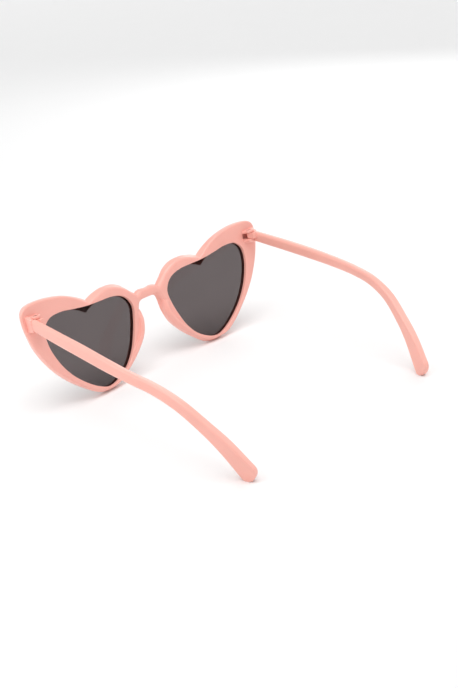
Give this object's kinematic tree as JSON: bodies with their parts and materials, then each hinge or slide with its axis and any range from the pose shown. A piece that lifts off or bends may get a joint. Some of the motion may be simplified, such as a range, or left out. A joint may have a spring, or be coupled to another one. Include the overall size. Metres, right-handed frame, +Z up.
{
  "type": "heart shaped sunglasses",
  "caption": "Sunglasses with upswept heart shaped rims moulded in one with bridge and nose pads, dark heart lenses, and folding temples with curved drop tips.",
  "frame": {"origin": "middle of the footprint on the table, below the space between the open temples", "axes": "+X towards the wearer's left, +Y from the front to the temple tips, +Z up; the glasses stand open on the two heart tips and the two temple tips"},
  "size_m": [0.1464, 0.124, 0.0522],
  "materials": {
    "pink_frame": "satin moulded pink plastic",
    "pink_temple": "satin moulded pink plastic",
    "smoke_lens": "smoke grey tinted lens",
    "screw_steel": "small bright steel screw"
  },
  "bodies": {
    "front": {"front_frame": "pink_frame", "lens_left": "smoke_lens", "lens_right": "smoke_lens", "hinge_screw_left": "screw_steel", "hinge_screw_right": "screw_steel"},
    "temple_left": {"temple_left": "pink_temple"},
    "temple_right": {"temple_right": "pink_temple"}
  },
  "joints": [
    {"name": "temple_left_hinge", "type": "hinge", "parent": "front", "child": "temple_left", "pos_m": [0.0673, -0.05281, 0.04473], "axis": [0, -0.2011, 0.9796], "range_deg": [0, 87]},
    {"name": "temple_right_hinge", "type": "hinge", "parent": "front", "child": "temple_right", "pos_m": [-0.0673, -0.05281, 0.04473], "axis": [0, 0.2011, -0.9796], "range_deg": [0, 83]}
  ]
}
